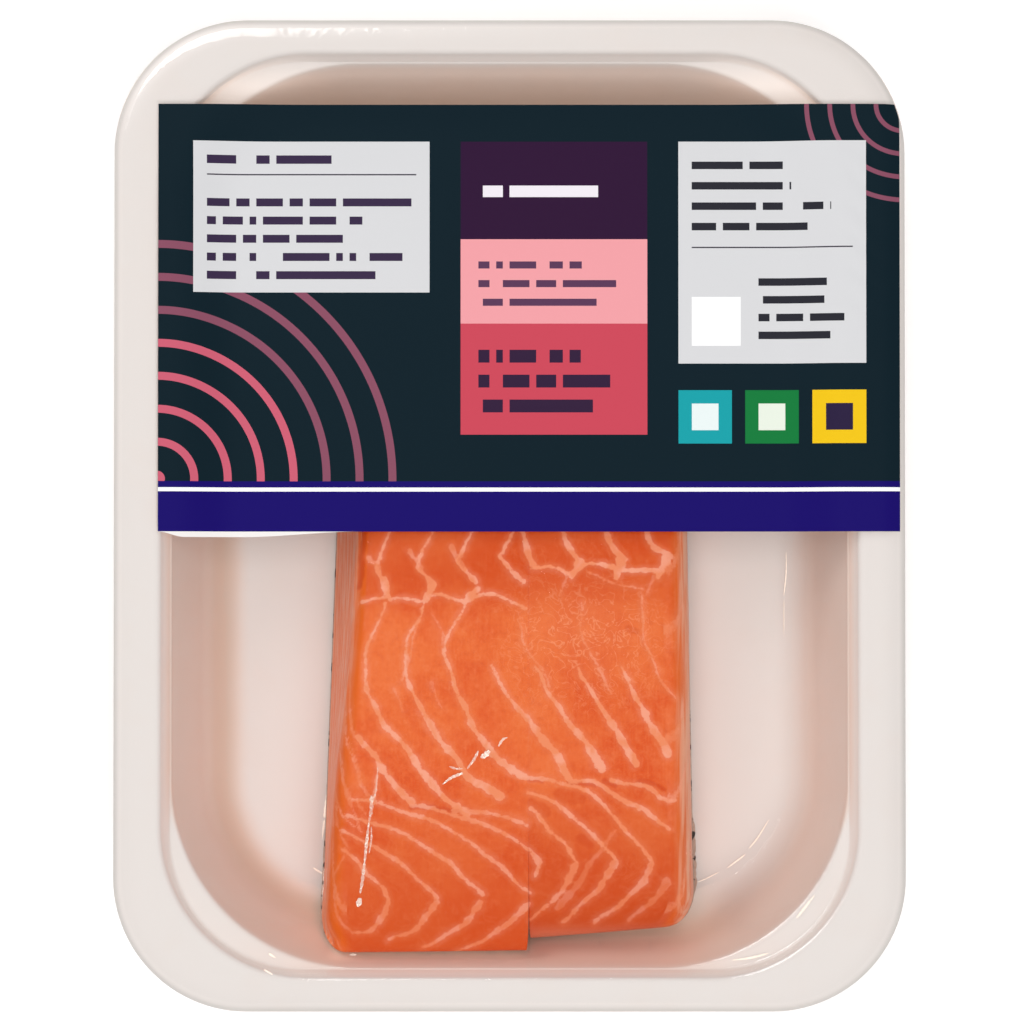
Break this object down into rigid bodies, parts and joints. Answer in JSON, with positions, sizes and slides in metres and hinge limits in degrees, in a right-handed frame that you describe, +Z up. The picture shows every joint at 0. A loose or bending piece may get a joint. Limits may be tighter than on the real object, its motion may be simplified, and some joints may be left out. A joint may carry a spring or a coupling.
{
  "type": "skin-packed smoked salmon fillets",
  "caption": "Smoked salmon fillets lying side by side, skin down, in a shallow cream plastic tray under clear skin film, with a printed label stuck across the back half.",
  "frame": {"origin": "middle of the tray's flat base, at the height of the surface that it rests on", "axes": "+Z up; +Y along the tray's long side, from the fillets' thick loin ends towards the label; +X to the right, from the wider fillet to the narrower"},
  "size_m": [0.178, 0.223, 0.0284],
  "materials": {
    "tray": "cream thermoformed sheet, satin",
    "flesh": "moist smoked salmon flesh, orange with pale fat lines",
    "skin": "silver-grey fish skin with dark specks",
    "film": "clear glossy skin-pack film",
    "label": "printed film label, satin, dark blue ground"
  },
  "bodies": {
    "root": {"tray": "tray", "fillet_left": "flesh", "fillet_right": "flesh", "skin_left": "skin", "skin_right": "skin", "film": "film", "label": "label"}
  },
  "joints": []
}
